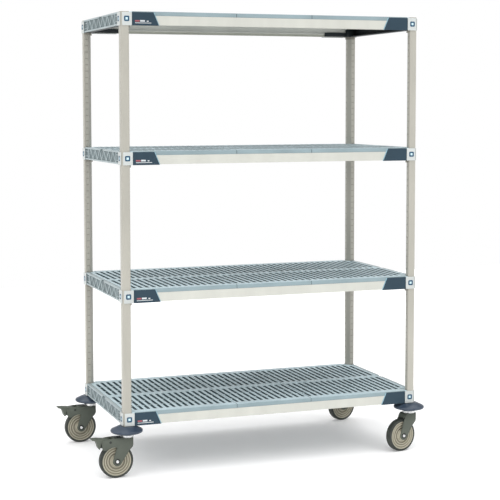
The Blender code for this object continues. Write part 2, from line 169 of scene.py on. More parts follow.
def block(name, low, high):
    """A box between two corners given in any order; its place is in its mesh."""
    low, high = Vector(low), Vector(high)
    bpy.ops.mesh.primitive_cube_add(size=1.0, location=(low + high) / 2)
    piece = bpy.context.object
    piece.name = piece.data.name = name
    piece.scale = [abs(b - a) for a, b in zip(low, high)]
    bpy.ops.object.transform_apply()
    return piece


def modify(piece, kind, **settings):
    """Adds one modifier and applies it."""
    activate(piece)
    step = piece.modifiers.new(kind.lower(), kind)
    for key, value in settings.items():
        setattr(step, key, value)
    bpy.ops.object.modifier_apply(modifier=step.name)
    return piece


def shaded(piece):
    """Smooth over soft edges, flat over sharp ones."""
    activate(piece)
    bpy.ops.object.shade_smooth_by_angle(angle=radians(SMOOTH))
    return piece


def rounded(piece, width, segments=2, angle=30.0):
    """Rounds every sharp edge and shades the piece."""
    modify(piece, "BEVEL", width=width, segments=segments, limit_method="ANGLE",
           angle_limit=radians(angle))
    return shaded(piece)


def discard(pieces):
    for piece in pieces:
        bpy.data.objects.remove(piece, do_unlink=True)


def boolean(piece, others, operation):
    """Joins others to the piece or cuts them from it; the others are used up."""
    for other in others:
        modify(piece, "BOOLEAN", object=other, operation=operation, solver="EXACT")
        discard([other])
    return piece


def joined(name, pieces):
    """Several pieces as one object, still separate bodies."""
    activate(pieces[0])
    for piece in pieces[1:]:
        piece.select_set(True)
    if len(pieces) > 1:
        bpy.ops.object.join()
    pieces[0].name = pieces[0].data.name = name
    return pieces[0]


def added(name, data):
    thing = bpy.data.objects.new(name, data)
    bpy.context.scene.collection.objects.link(thing)
    return thing


def assign(piece, name, body, slot, node=None):
    """Names a finished piece; it rides its body and stands for its node."""
    piece.name = piece.data.name = name
    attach(piece, body)
    if node:
        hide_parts(node)


def place_copy(piece, name, matrix, *roles):
    twin = added(name, piece.data.copy())
    twin.data.transform(matrix)
    assign(twin, name, *roles)


def arc(middle, radius, start, stop, steps):
    """Points on an arc, both ends included; degrees."""
    points = []
    for i in range(steps + 1):
        angle = radians(start + (stop - start) * i / steps)
        points.append((middle[0] + radius * cos(angle), middle[1] + radius * sin(angle)))
    return points


def mirrored(points):
    return [(r, -z) for r, z in reversed(points)]


def turned(name, profile, steps=64, closed=True):
    """A (radius, height) profile drawn by extruding a point, then spun round Z."""
    bpy.ops.mesh.primitive_plane_add(size=0.01)
    piece = bpy.context.object
    piece.name = piece.data.name = name
    edit(piece)
    bpy.ops.mesh.select_mode(type="VERT")
    take_all()
    bpy.ops.mesh.merge(type="CENTER")
    take_all()
    shift(x=profile[0][0], z=profile[0][1])
    if closed:
        profile = profile + profile[:1]
    for (r0, z0), (r1, z1) in zip(profile, profile[1:]):
        push(x=r1 - r0, z=z1 - z0)
    merge_all()
    take_all()
    bpy.ops.mesh.spin(steps=steps, angle=tau, center=(0, 0, 0), axis=(0, 0, 1))
    merge_all()
    bpy.ops.mesh.normals_make_consistent(inside=False)
    done()
    return shaded(piece)


def cut_out(name, loops, low, high, flat=False):
    """Closed outlines in XZ, thick along Y from low to high; flat: in XY, thick along Z."""
    curve = bpy.data.curves.new(name, "CURVE")
    curve.dimensions = "2D"
    curve.fill_mode = "BOTH"
    curve.extrude = (high - low) / 2
    for loop in loops:
        spline = curve.splines.new("POLY")
        spline.points.add(len(loop) - 1)
        for point, (u, v) in zip(spline.points, loop):
            point.co = (u, v, 0.0, 1.0)
        spline.use_cyclic_u = True
    activate(added(name, curve))
    bpy.ops.object.convert(target="MESH")
    piece = bpy.context.object
    middle = (low + high) / 2
    if flat:
        piece.data.transform(Matrix.Translation((0, 0, middle)))
    else:
        upright = Matrix.Rotation(radians(90), 4, "X")
        piece.data.transform(Matrix.Translation((0, middle, 0)) @ upright)
    edit(piece)
    merge_all()
    bpy.ops.mesh.dissolve_limited(angle_limit=radians(0.5))
    take_all()
    bpy.ops.mesh.normals_make_consistent(inside=False)
    done()
    return piece


def ring(middle, radius, steps):
    return arc(middle, radius, 0, 360 - 360 / steps, steps - 1)


# ---- materials
def fill(node, **values):
    """Sets a node's inputs; an underscore stands for a space."""
    for key, value in values.items():
        node.inputs[key.replace("_", " ")].default_value = value


class Recipe:
    """A procedural finish: one Principled shader and the nodes that vary it."""

    def __init__(self, name):
        self.material = bpy.data.materials.new(name)
        self.material.use_nodes = True
        self.nodes = self.material.node_tree.nodes
        self.links = self.material.node_tree.links
        self.shader = self.nodes["Principled BSDF"]
        self.place = self.nodes.new("ShaderNodeTexCoord").outputs["Object"]

    def noise(self, scale, detail=3.0, stretch=None):
        source = self.place
        if stretch:
            mapping = self.nodes.new("ShaderNodeMapping")
            fill(mapping, Scale=stretch)
            self.links.new(source, mapping.inputs["Vector"])
            source = mapping.outputs["Vector"]
        node = self.nodes.new("ShaderNodeTexNoise")
        fill(node, Scale=scale, Detail=detail)
        self.links.new(source, node.inputs["Vector"])
        return node.outputs["Fac"]

    def ramp(self, source, stops):
        """Colours along a 0 to 1 source: stops are (position, (r, g, b))."""
        node = self.nodes.new("ShaderNodeValToRGB")
        elements = node.color_ramp.elements
        while len(elements) < len(stops):
            elements.new(0.5)
        for element, (position, colour) in zip(elements, stops):
            element.position = position
            element.color = (*colour, 1.0)
        self.links.new(source, node.inputs["Fac"])
        return node.outputs["Color"]

    def span(self, source, low, high):
        """A 0.3 to 0.7 source spread over low to high."""
        node = self.nodes.new("ShaderNodeMapRange")
        fill(node, From_Min=0.3, From_Max=0.7, To_Min=low, To_Max=high)
        self.links.new(source, node.inputs["Value"])
        return node.outputs["Result"]

    def colour(self, source):
        self.links.new(source, self.shader.inputs["Base Color"])

    def roughness(self, source):
        self.links.new(source, self.shader.inputs["Roughness"])

    def bump(self, source, strength, distance=0.0005):
        node = self.nodes.new("ShaderNodeBump")
        fill(node, Strength=strength, Distance=distance)
        self.links.new(source, node.inputs["Height"])
        previous = self.shader.inputs["Normal"].links
        if previous:
            self.links.new(previous[0].from_socket, node.inputs["Normal"])
        self.links.new(node.outputs["Normal"], self.shader.inputs["Normal"])

    def set(self, **values):
        fill(self.shader, **values)


def tinted(colour, factor):
    return tuple(min(1.0, channel * factor) for channel in colour)


def moulded(name, colour, roughness=(0.38, 0.52), low=0.9, high=1.06, grain=900.0, depth=0.25):
    """Moulded polymer: faint cloudiness, fine spark-eroded grain, slightly uneven sheen."""
    recipe = Recipe(name)
    cloud = recipe.noise(9.0, 4.0)
    recipe.colour(recipe.ramp(cloud, [(0.32, tinted(colour, low)), (0.68, tinted(colour, high))]))
    recipe.roughness(recipe.span(recipe.noise(35.0, 3.0), *roughness))
    recipe.bump(recipe.noise(grain, 2.0), depth, 0.0002)
    recipe.set(IOR=1.48, Specular_IOR_Level=0.35)
    return recipe.material


def enamel(name, colour, roughness=(0.3, 0.42)):
    """Baked powder coat: orange peel and faint long streaks from handling."""
    recipe = Recipe(name)
    streak = recipe.noise(14.0, 4.0, stretch=(1.0, 1.0, 0.25))
    recipe.colour(recipe.ramp(streak, [(0.3, tinted(colour, 0.93)), (0.7, tinted(colour, 1.04))]))
    recipe.roughness(recipe.span(recipe.noise(60.0, 3.0), *roughness))
    recipe.bump(recipe.noise(420.0, 2.0), 0.2, 0.0003)
    recipe.set(IOR=1.5, Coat_Weight=0.15, Coat_Roughness=0.25)
    return recipe.material


def rubber(name, colour, dust, roughness=(0.55, 0.75)):
    """Soft rubber with dust in its grain."""
    recipe = Recipe(name)
    wear = recipe.noise(22.0, 5.0)
    recipe.colour(recipe.ramp(wear, [(0.4, colour), (0.75, dust)]))
    recipe.roughness(recipe.span(recipe.noise(50.0, 3.0), *roughness))
    recipe.bump(recipe.noise(650.0, 3.0), 0.35, 0.0003)
    recipe.set(IOR=1.5)
    return recipe.material


def plated_steel(name):
    """Bright zinc plate with turning marks and a little haze."""
    recipe = Recipe(name)
    haze = recipe.noise(40.0, 4.0)
    recipe.colour(recipe.ramp(haze, [(0.35, (0.62, 0.63, 0.64)), (0.7, (0.86, 0.86, 0.85))]))
    recipe.roughness(recipe.span(recipe.noise(90.0, 3.0), 0.16, 0.32))
    recipe.bump(recipe.noise(700.0, 2.0), 0.12, 0.0002)
    recipe.set(Metallic=1.0)
    return recipe.material


MAT_PALE = moulded("deck_mat_polymer", (0.5, 0.625, 0.67), (0.34, 0.48))
# The mats' edge faces take a darker copy of the mat colour: painted shade.
MAT_EDGE_PAINTED_SHADE = moulded("deck_mat_hem", (0.265, 0.345, 0.372), (0.36, 0.5))
# Near-black slot walls, seam ends and underside of the mats: painted shade.
MAT_PAINTED_SHADE = moulded("deck_mat_slot_wall", (0.066, 0.105, 0.12), (0.6, 0.75))
RAIL_GREY = moulded("end_rail_polymer", (0.36, 0.425, 0.44), (0.34, 0.46))
# Darker floor of the rails' recessed panel and finger notch: painted shade.
RAIL_PAINTED_SHADE = moulded("end_rail_recess", (0.15, 0.19, 0.2), (0.5, 0.65))
# Near-black inner and under faces of the end rails and the bracket collars: painted shade.
SHELF_UNDER_PAINTED_SHADE = moulded("shelf_underside_polymer", (0.012, 0.018, 0.021), (0.5, 0.65))
BRACKET_BLUE = moulded("bracket_polymer", (0.02, 0.046, 0.069), (0.42, 0.55))
BRACKET_EDGE = moulded("bracket_edge_polymer", (0.27, 0.45, 0.53), (0.3, 0.42))
PLATE_CREAM = moulded("corner_plate_polymer", (0.55, 0.58, 0.57), (0.34, 0.46))
LOCK_BLUE = moulded("lock_polymer", (0.008, 0.07, 0.14), (0.26, 0.36))
LOCK_WHITE = moulded("lock_centre_polymer", (0.6, 0.8, 0.86), (0.22, 0.32))
BEAM_CREAM = enamel("beam_coating", (0.565, 0.57, 0.52))
# Darker lower band on the beams' inner wall: painted shade.
BEAM_PAINTED_SHADE = enamel("beam_inner_coating", (0.43, 0.435, 0.365), (0.4, 0.5))
POST_TAUPE = enamel("post_coating", (0.415, 0.402, 0.352), (0.36, 0.48))
# Darker floors of the posts' inch marks: painted shade.
POST_MARK_PAINTED_SHADE = enamel("post_mark_coating", (0.27, 0.255, 0.215), (0.45, 0.55))
WEDGE_TAUPE = moulded("wedge_polymer", (0.27, 0.255, 0.22))
BUMPER_VIOLET = rubber("bumper_rubber", (0.018, 0.034, 0.06), (0.06, 0.08, 0.112), (0.28, 0.4))
FORK_GREEN = moulded("fork_nylon", (0.088, 0.1, 0.081), (0.45, 0.6), 0.85, 1.15, 700.0, 0.4)
SEAT_DARK = moulded("axle_seat_nylon", (0.03, 0.034, 0.03), (0.4, 0.55))
DISC_SAND = moulded("wheel_disc_nylon", (0.4, 0.378, 0.295), (0.34, 0.48), 0.88, 1.1)
# Darker wheel disc grooves: painted shade.
DISC_GROOVE_PAINTED_SHADE = moulded("wheel_disc_grooves", (0.215, 0.198, 0.148), (0.45, 0.6), 0.88, 1.1)
TREAD_DARK = rubber("tread_rubber", (0.022, 0.027, 0.022), (0.05, 0.054, 0.046))
STEEL = plated_steel("plated_steel")
LABEL_PALE = moulded("label_film", (0.62, 0.66, 0.68), (0.3, 0.4))
LABEL_RED = moulded("label_band", (0.36, 0.1, 0.12), (0.3, 0.4))


def painted(piece, material):
    piece.data.materials.clear()
    piece.data.materials.append(material)
    return piece


def painted_inside(piece, material, inside):
    """A second finish on the faces that pass the test."""
    piece.data.materials.append(material)
    for face in piece.data.polygons:
        if inside(face.center, face.normal):
            face.material_index = len(piece.data.materials) - 1
    return piece


# ---- deck mats
MAT_SEAM = 0.0005
SLOT_PITCH = 0.025
SLOT_HALF = 0.006
BAR_HALF = 0.02
SLOT_END = 0.262
CORNER_SLOT_END = 0.236
CROSS_BARS = (0.105, 0.185)
CROSS_BAR_HALF = 0.0045
CROSS_BAR_SUNK = 0.0035
SLOT_ROUND = 0.0035

PLATE_FROM_CORNER = 0.0075
PLATE_WIDTH = 0.037
SIDE_PLATE_WIDTH = 0.036
NOTCH_X = HALF_LENGTH - PLATE_FROM_CORNER - PLATE_WIDTH - 0.0015
NOTCH_Y = HALF_DEPTH - PLATE_FROM_CORNER - SIDE_PLATE_WIDTH - 0.0015


def mat_columns(first, count, side=1):
    return [MIDDLE_X + side * (first + i * SLOT_PITCH) for i in range(count)]


def slotted_sheet(name, x_low, x_high, columns, notched=None):
    """The mat's top face with its slots, as a flat sheet ready to be thickened."""
    middle = ((x_low + x_high) / 2, 0.0, SHELF_TOP)
    bpy.ops.mesh.primitive_plane_add(size=1.0, location=middle)
    sheet = bpy.context.object
    sheet.name = sheet.data.name = name
    sheet.scale = (x_high - x_low, 2 * MAT_HALF_Y, 1.0)
    bpy.ops.object.transform_apply()
    edit(sheet)
    for x in columns:
        slice_at("x", x - SLOT_HALF, x + SLOT_HALF)
    for y in (BAR_HALF, CORNER_SLOT_END, SLOT_END):
        slice_at("y", y, -y)
    if notched:
        slice_at("x", MIDDLE_X + notched * NOTCH_X)
        slice_at("y", NOTCH_Y, -NOTCH_Y)

    def open_face(face):
        middle = face.calc_center_median()
        across = abs(middle.x - MIDDLE_X)
        if notched and across > NOTCH_X and abs(middle.y) > NOTCH_Y:
            return True
        end = CORNER_SLOT_END if across > POST_INSIDE_X - 2 * SLOT_HALF else SLOT_END
        in_slot = any(abs(middle.x - x) < SLOT_HALF for x in columns)
        return in_slot and BAR_HALF < abs(middle.y) < end

    pick(sheet, open_face)
    bpy.ops.mesh.delete(type="FACE")
    take_all()
    bpy.ops.mesh.dissolve_limited(angle_limit=radians(0.5))
    done()
    return sheet


def slot_corner(edge, x_low, x_high):
    """An upright edge of a slot, away from the mat's own outline."""
    a, b = edge.verts[0].co, edge.verts[1].co
    upright = abs(a.x - b.x) + abs(a.y - b.y) < 0.0001
    inside = x_low + 0.004 < a.x < x_high - 0.004 and abs(a.y) < SLOT_END + 0.001
    return upright and inside


def deck_mat(name, x_low, x_high, columns, notched=None):
    """A mat: pierced panel, rounded slot ends and sunk cross bars; slot walls, seams, underside and
    edge faces are painted darker as shade.
    """
    x_low, x_high = x_low + MAT_SEAM, x_high - MAT_SEAM
    mat = slotted_sheet(name, x_low, x_high, columns, notched)
    modify(mat, "SOLIDIFY", thickness=SHELF_TOP - MAT_LOW, offset=-1.0)
    edit(mat)
    pick(mat, lambda e: slot_corner(e, x_low, x_high), "edges")
    bevel(SLOT_ROUND, 3)
    done()
    bars = []
    for side in (-1, 1):
        for y in CROSS_BARS:
            bars.append(block(
                "cross_bar", (x_low + 0.004, side * y - CROSS_BAR_HALF, MAT_LOW + 0.001),
                (x_high - 0.004, side * y + CROSS_BAR_HALF, SHELF_TOP - CROSS_BAR_SUNK)))
    boolean(mat, bars, "UNION")
    rounded(mat, 0.0008, 2, 40.0)
    painted(mat, MAT_PALE)

    def slot_wall(middle, normal):
        if abs(normal.x) > 0.9 and not x_low + 0.0006 < middle.x < x_high - 0.0006:
            return True
        below = middle.z < SHELF_TOP - 0.0011 and abs(normal.z) < 0.8
        within = x_low + 0.003 < middle.x < x_high - 0.003 and abs(middle.y) < SLOT_END + 0.004
        return below and within

    def hem(middle, normal):
        return abs(middle.y) > MAT_HALF_Y - 0.0006 and abs(normal.z) < 0.8

    # Painted shade: slot walls, seam ends and the underside are painted near black.
    painted_inside(mat, MAT_PAINTED_SHADE, slot_wall)
    painted_inside(mat, MAT_PAINTED_SHADE, lambda middle, normal: normal.z < -0.8)
    # Painted shade: the edge faces take a darker copy of the mat colour.
    return painted_inside(mat, MAT_EDGE_PAINTED_SHADE, hem)


def build_mats():
    boxes = {place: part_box(f"shelf_1_mat_{place}") for place in ("centre", "left", "right")}
    first = boxes["right"][0].x - MIDDLE_X + SLOT_PITCH / 2
    rows = {
        "centre": (mat_columns(-5.5 * SLOT_PITCH, 12), None),
        "left": (mat_columns(first, 17, -1), -1),
        "right": (mat_columns(first, 17), 1),
    }
    return {place: deck_mat(f"mat_{place}", low.x, high.x, *rows[place])
            for place, (low, high) in boxes.items()}


# ---- beams
BEAM_WALL = 0.0025
BEAM_RIB = (0.017, 0.0045)        # down the inner wall: above the rib, and the rib itself
BEAM_SET_BACK = 0.0018


def beam(end):
    """Coated channel: flat face, rolled edges, and an inner wall with two set-back bands."""
    low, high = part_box("shelf_1_beam_front" if end < 0 else "shelf_1_beam_rear")
    outside, inside = (low.y, high.y) if end < 0 else (high.y, low.y)
    piece = block("beam", (low.x, outside, low.z), (high.x, outside - end * BEAM_WALL, high.z))
    edit(piece)
    slice_at("z", high.z - BEAM_WALL, low.z + 0.003)

    def inner_top(face):
        return face.normal.y * end < -0.9 and face.calc_center_median().z > high.z - BEAM_WALL

    reach = abs(inside - outside) - BEAM_WALL
    pick(piece, inner_top)
    push(y=-end * (reach - BEAM_WALL))
    push(y=-end * BEAM_WALL)

    def under_lip(face):
        middle = face.calc_center_median()
        return face.normal.z < -0.9 and abs(middle.y - inside) < 0.002 and middle.z > low.z + 0.01

    pick(piece, under_lip)
    for depth in BEAM_RIB:
        push(z=-depth)
    push(z=-(high.z - low.z - BEAM_WALL - sum(BEAM_RIB)))
    rib_low = high.z - BEAM_WALL - sum(BEAM_RIB)

    def set_back(face, z_low, z_high):
        middle = face.calc_center_median()
        on_inside = face.normal.y * end < -0.9 and abs(middle.y - inside) < 0.0005
        return on_inside and z_low < middle.z < z_high

    pick(piece, lambda f: set_back(f, rib_low + 0.005, high.z - 0.003))
    push(y=end * BEAM_SET_BACK)
    pick(piece, lambda f: set_back(f, low.z, rib_low - 0.001))
    push(y=end * BEAM_SET_BACK)
    done()
    painted(rounded(piece, 0.0006), BEAM_CREAM)
    # Painted shade: the inner wall's lower band takes a darker copy of the beam colour.
    return painted_inside(piece, BEAM_PAINTED_SHADE, lambda middle, normal:
                          normal.y * end < -0.5 and abs(middle.y - inside) < 0.003
                          and low.z + 0.0008 < middle.z < rib_low - 0.0005)


# ---- end frames
PLATE = 0.003
DROP = 0.002                      # corner trim sits this much below the mats and beams
DROPPED = Matrix.Translation((0, 0, -DROP))
PLATE_OUTER = HALF_LENGTH - PLATE_FROM_CORNER
PLATE_INNER = PLATE_OUTER - PLATE_WIDTH
BRACKET_TOP = PLATE_INNER - 0.082
BRACKET_BOTTOM = PLATE_INNER - 0.102
BRACKET_THICK = 0.0022
COLLAR_WALL = 0.0122
TRIM_BACK = HALF_DEPTH - 0.0032    # the collar and cap stop behind the plates
LOCK_IN = 0.0246                   # corner to the lock's middle
LOCK_OUTSIDE = 0.0195
LOCK_HOLE = 0.0095

RECESS = 0.003                    # depth of the end rail's outer panel
RAIL_RIM = 0.006
RIB_BAYS = 12
LEDGE = 0.003
LEDGE_REACH = 0.0425
FLANGE_REACH = 0.0285
NOTCH_HALF = 0.017                # finger notch in the rail's top edge
NOTCH_DEEP = 0.006


def end_rail(side):
    """Moulded rail: recessed outer panel, top lip, mat ledge and bottom flange."""
    outer = MIDDLE_X + side * RAIL_OUTSIDE
    inner = outer - side * RAIL_WALL
    rail = block("end_rail", (inner, -RAIL_HALF, SHELF_LOW), (outer, RAIL_HALF, SHELF_TOP))
    edit(rail)
    pick(rail, lambda f: f.normal.x * side > 0.9)
    inset(RAIL_RIM)
    push(x=-side * RECESS)
    slice_at("z", SUPPORT_TOP, SUPPORT_TOP - LEDGE, SHELF_LOW + RAIL_WALL)

    def strip(face, z_low, z_high):
        middle = face.calc_center_median()
        return face.normal.x * side < -0.9 and z_low < middle.z < z_high

    pick(rail, lambda f: strip(f, SUPPORT_TOP, SHELF_TOP))
    push(x=-side * (RAIL_LIP - RAIL_WALL))
    pick(rail, lambda f: strip(f, SUPPORT_TOP - LEDGE, SUPPORT_TOP))
    push(x=-side * (LEDGE_REACH - RAIL_WALL))
    pick(rail, lambda f: strip(f, SHELF_LOW, SHELF_LOW + RAIL_WALL))
    push(x=-side * (FLANGE_REACH - RAIL_WALL))
    done()
    notch = block("finger_notch", (outer - side * NOTCH_DEEP, -NOTCH_HALF, SHELF_TOP - NOTCH_DEEP),
                  (outer + side * 0.002, NOTCH_HALF, SHELF_TOP + 0.002))
    boolean(rail, [notch], "DIFFERENCE")
    painted(rounded(rail, 0.001, 3), RAIL_GREY)

    def sunk(middle, normal):
        in_panel = side * (middle.x - outer) < -RECESS / 2 and side * normal.x > -0.5
        within = abs(middle.z - LOCK) < HALF_HEIGHT - RAIL_RIM + 0.0005
        in_notch = (abs(middle.y) < NOTCH_HALF + 0.0002 and side * normal.x > -0.5
                    and -NOTCH_DEEP - 0.0008 < middle.z - SHELF_TOP < -0.0012)
        deep = side * (middle.x - outer) < -0.0008
        in_place = abs(middle.y) < RAIL_HALF - 0.003 and side * (middle.x - outer) > -0.0065
        return in_place and ((in_panel and within) or (in_notch and deep))

    # Painted shade: the recessed panel's floor and the finger notch's inside are painted darker.
    painted_inside(rail, RAIL_PAINTED_SHADE, sunk)

    # Painted shade: the rail's inward and downward faces are painted near black.
    def hidden(middle, normal):
        return side * normal.x < -0.5 or (normal.z < -0.5 and side * (outer - middle.x) > 0.005)

    return painted_inside(rail, SHELF_UNDER_PAINTED_SHADE, hidden)


def rail_ribs(side):
    """Truss ribs standing in the rail's outer panel, with a post and two bars at each end."""
    outer = MIDDLE_X + side * RAIL_OUTSIDE
    low, high = outer - side * (RECESS + 0.0002), outer - side * 0.0004
    height = 2 * (HALF_HEIGHT - RAIL_RIM) + 0.001
    bay = 2 * (RAIL_HALF - 0.062) / RIB_BAYS
    lean = atan2(bay, height)
    length = hypot(bay, height)
    ribs = []
    for i in range(RIB_BAYS):
        y = (i + 0.5 - RIB_BAYS / 2) * bay
        rib = block("rib", (low, -0.0021, -length / 2), (high, 0.0021, length / 2))
        turn = Matrix.Rotation(lean if i % 2 else -lean, 4, "X")
        rib.data.transform(Matrix.Translation((0, y, LOCK)) @ turn)
        ribs.append(rib)
    for end in (-1, 1):
        edge = end * (RAIL_HALF - 0.054)
        ribs.append(block("rib_post", (low, edge - 0.003, LOCK - height / 2),
                          (high, edge + 0.003, LOCK + height / 2)))
        for z in (-0.01, 0.01):
            ribs.append(block("rib_bar", (low, end * (RAIL_HALF - 0.05), LOCK + z - 0.0014),
                              (high - side * 0.0008, end * (RAIL_HALF - 0.006), LOCK + z + 0.0014)))
    return painted(rounded(joined("rail_ribs", ribs), 0.0006), RAIL_GREY)


def bracket(side, end):
    """Dark corner bracket: a raised face with a slanted end, a collar round the post, a sleeve;
    collar and sleeve are painted near black, partly the bracket's own dark blue, partly painted
    shade.
    """
    def across(x):
        return MIDDLE_X + side * x

    front, back = end * (HALF_DEPTH - 0.0004), end * (HALF_DEPTH - BRACKET_THICK)
    face = block("bracket_face", (across(BRACKET_TOP), back, SHELF_LOW),
                 (across(PLATE_INNER - 0.0006), front, SHELF_TOP - 0.001))
    edit(face)

    def low_end(vertex):
        return side * (vertex.co.x - MIDDLE_X) < BRACKET_TOP + 0.001 and vertex.co.z < LOCK

    pick(face, low_end, "verts")
    shift(x=side * (BRACKET_BOTTOM - BRACKET_TOP))
    pick(face, lambda f: f.normal.y * end > 0.9)
    inset(0.0035)
    shift(y=-end * 0.0004)
    done()
    wall, arm = COLLAR_X - COLLAR_WALL, HALF_DEPTH - 0.031
    rail_end = RAIL_OUTSIDE - RAIL_WALL - 0.0006
    outline = [
        (COLLAR_X, TRIM_BACK), (COLLAR_X, POST_INSIDE_Y + COLLAR_CUT),
        (POST_INSIDE_X + COLLAR_CUT, COLLAR_Y), (rail_end, COLLAR_Y),
        (rail_end, COLLAR_Y - COLLAR_WALL), (wall, COLLAR_Y - COLLAR_WALL), (wall, TRIM_BACK),
    ]
    collar = cut_out("bracket_collar", [[(across(u), end * v) for u, v in outline]],
                     SHELF_LOW, SUPPORT_TOP - 0.0032, flat=True)
    sleeve = block("bracket_sleeve", (across(BRACKET_BOTTOM), end * (arm - 0.004), SHELF_LOW),
                   (across(wall + 0.002), end * arm, SHELF_LOW + 0.017))
    body = rounded(joined("bracket_body", [collar, sleeve]), 0.0008)
    rounded(face, 0.0008)
    face.data.transform(DROPPED)
    # Painted shade: the collar and sleeve are painted near black, darker than the bracket's own
    # blue.
    return joined("bracket", [painted(face, BRACKET_BLUE), painted(body, SHELF_UNDER_PAINTED_SHADE)])


def corner_cap(side, end):
    """Pale filler between the mat's corner and the post, just below the mats' top."""
    far = RAIL_OUTSIDE - RAIL_LIP - 0.0002
    outline = [
        (NOTCH_X + GAP, TRIM_BACK), (COLLAR_X, TRIM_BACK), (COLLAR_X, POST_INSIDE_Y + COLLAR_CUT),
        (POST_INSIDE_X + COLLAR_CUT, COLLAR_Y), (far, COLLAR_Y),
        (far, NOTCH_Y + GAP), (NOTCH_X + GAP, NOTCH_Y + GAP),
    ]
    piece = cut_out("corner_cap", [[(MIDDLE_X + side * u, end * v) for u, v in outline]],
                    SUPPORT_TOP - LEDGE, SHELF_TOP - 0.001, flat=True)
    return painted(rounded(piece, 0.0008), MAT_PALE)


def bracket_edge(side, end):
    """The pale bevel strip along a bracket's slanted end."""
    near, far = (MIDDLE_X + side * (BRACKET_TOP - step) for step in (0.0002, 0.003))
    piece = block("bracket_edge", (near, end * (HALF_DEPTH - 0.0024), SHELF_LOW + 0.0006),
                  (far, end * (HALF_DEPTH - 0.0004), SHELF_TOP - 0.0014))
    edit(piece)
    pick(piece, lambda v: v.co.z < LOCK, "verts")
    shift(x=side * (BRACKET_BOTTOM - BRACKET_TOP))

    def far_front(vertex):
        middle = (BRACKET_TOP if vertex.co.z > LOCK else BRACKET_BOTTOM) - 0.0016
        is_far = side * (vertex.co.x - MIDDLE_X) < middle
        return is_far and vertex.co.y * end > HALF_DEPTH - 0.001

    pick(piece, far_front, "verts")
    shift(y=-end * 0.0012)
    done()
    rounded(piece, 0.0004)
    piece.data.transform(DROPPED)
    return painted(piece, BRACKET_EDGE)


def corner_plate(side, end, facing):
    """One cream plate with a raised rim, facing X or Y, outside the post."""
    foot, head = SHELF_LOW - DROP, SHELF_TOP - 1.5 * DROP
    if facing == "Y":
        low = (MIDDLE_X + side * PLATE_INNER, end * (HALF_DEPTH - PLATE + GAP), foot)
        high = (MIDDLE_X + side * PLATE_OUTER, end * (HALF_DEPTH - 0.0004), head)
    else:
        plate_end = HALF_DEPTH - PLATE_FROM_CORNER - SIDE_PLATE_WIDTH
        low = (MIDDLE_X + side * (HALF_LENGTH - PLATE + GAP), end * plate_end, foot)
        high = (MIDDLE_X + side * (HALF_LENGTH - 0.0004),
                end * (HALF_DEPTH - PLATE_FROM_CORNER), head)
    plate = block("corner_plate", low, high)
    axis = Vector((0, end, 0)) if facing == "Y" else Vector((side, 0, 0))
    edit(plate)
    pick(plate, lambda e: runs_along(e, axis), "edges")
    bevel(0.003, 3)
    pick(plate, lambda f: f.normal.dot(axis) > 0.9)
    inset(0.0018)
    shift(*(axis * 0.0004))
    done()
    return painted(rounded(plate, 0.0006, 2, 20.0), PLATE_CREAM)


def lock_place(side, end, facing):
    """One lock's middle, its outward direction, and the level direction across it."""
    if facing == "Y":
        middle = Vector((MIDDLE_X + side * (HALF_LENGTH - LOCK_IN), end * HALF_DEPTH, LOCK - DROP))
        return middle, Vector((0, end, 0)), Vector((1, 0, 0))
    middle = Vector((MIDDLE_X + side * HALF_LENGTH, end * (HALF_DEPTH - LOCK_IN), LOCK - DROP))
    return middle, Vector((side, 0, 0)), Vector((0, 1, 0))


def lock_ring(side, end, facing):
    """A square blue ring with rounded corners, standing a little off its plate."""
    middle, out, along = lock_place(side, end, facing)
    half = LOCK_OUTSIDE / 2
    corner = along * half + Vector((0, 0, half))
    piece = block("lock_ring", middle - corner - out * 0.001, middle + corner + out * 0.0007)
    edit(piece)
    pick(piece, lambda e: runs_along(e, out), "edges")
    bevel(0.004, 4)
    pick(piece, lambda f: f.normal.dot(out) > 0.9)
    inset((LOCK_OUTSIDE - LOCK_HOLE) / 2)
    push(*(-out * 0.001))
    done()
    return painted(rounded(piece, 0.0004), LOCK_BLUE)


def lock_centre(side, end, facing):
    """The pale button in the ring."""
    middle, out, along = lock_place(side, end, facing)
    half = LOCK_HOLE / 2 - 0.0004
    corner = along * half + Vector((0, 0, half))
    piece = block("lock_centre", middle - corner - out * 0.0002, middle + corner + out * 0.0003)
    edit(piece)
    pick(piece, lambda f: f.normal.dot(out) > 0.9)
    inset(0.0016)
    shift(*(out * 0.0006))
    done()
    return painted(rounded(piece, 0.0004, 2, 20.0), LOCK_WHITE)


def wedge(side, end):
    """The wedge connector's skirt, showing below the collar round the post's inner side."""
    hang, thick, short = 0.0105, 0.0042, 0.0085
    near_x, near_y = POST_INSIDE_X - GAP, POST_INSIDE_Y - GAP
    lean = thick * (sqrt(2) - 1)
    cut_x, cut_y = POST_INSIDE_X + POST_CUT, POST_INSIDE_Y + POST_CUT
    outline = [
        (near_x, HALF_DEPTH - short), (near_x, cut_y), (cut_x, near_y),
        (HALF_LENGTH - short, near_y), (HALF_LENGTH - short, near_y - thick),
        (cut_x - lean, near_y - thick), (near_x - thick, cut_y - lean),
        (near_x - thick, HALF_DEPTH - short),
    ]
    piece = cut_out("wedge", [[(MIDDLE_X + side * u, end * v) for u, v in outline]],
                    SHELF_LOW - hang, SHELF_LOW + 0.0006, flat=True)
    return painted(rounded(piece, 0.001, 3), WEDGE_TAUPE)


def blank_label(end):
    """A plain two-tone label on a left bracket, with nothing written on it."""
    face = end * (HALF_DEPTH - 0.0006)
    x, z = MIDDLE_X - PLATE_INNER, LOCK - DROP

    def print_block(name, left, right, low, high):
        return block(name, (x + left, face, z + low), (x + right, face + end * 0.0003, z + high))

    pale = joined("label_pale", [
        print_block("label_bar", 0.031, 0.049, -0.011, -0.005),
        print_block("label_dot", 0.056, 0.063, -0.011, -0.007),
        print_block("label_line", 0.0115, 0.073, -0.0165, -0.0143),
    ])
    red = print_block("label_red", 0.0115, 0.029, -0.011, -0.0055)
    rounded(pale, 0.0001, 1)
    rounded(red, 0.0001, 1)
    return painted(pale, LABEL_PALE), painted(red, LABEL_RED)


